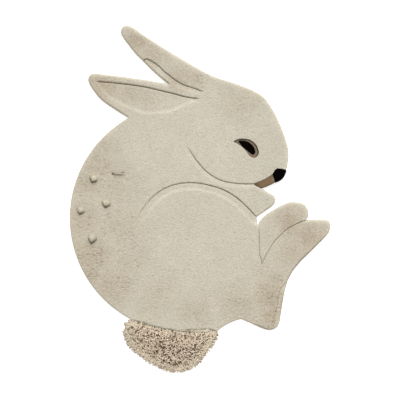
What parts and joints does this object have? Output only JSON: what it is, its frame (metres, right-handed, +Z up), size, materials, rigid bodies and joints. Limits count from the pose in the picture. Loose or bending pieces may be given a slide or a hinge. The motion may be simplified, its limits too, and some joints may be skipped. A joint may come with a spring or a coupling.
{
  "type": "rabbit shaped kids rug",
  "caption": "Soft floor rug for a child's room, shaped as a curled-up rabbit with carved lines in its short pile, a face in other yarns, small raised bobbles and a shaggy tail.",
  "frame": {"origin": "middle of the rug's bounding box, on the floor it lies on", "axes": "+X the way the rabbit's nose points, +Y from its tail to its ears, +Z up out of the pile"},
  "size_m": [0.8986, 1.1976, 0.0324],
  "materials": {
    "ecru_pile": "short cut wool pile",
    "ecru_shag": "long curled wool shag",
    "brown_pile": "short cut wool pile",
    "tan_pile": "short cut wool pile",
    "black_pile": "short cut wool pile"
  },
  "bodies": {
    "root": {"rug_body": "ecru_pile", "tail_shag": "ecru_shag", "eye_rim": "brown_pile", "pupil": "black_pile", "nose": "black_pile", "lip": "tan_pile", "bobble_1": "ecru_pile", "bobble_2": "ecru_pile", "bobble_3": "ecru_pile", "bobble_4": "ecru_pile", "bobble_5": "ecru_pile"}
  },
  "joints": []
}
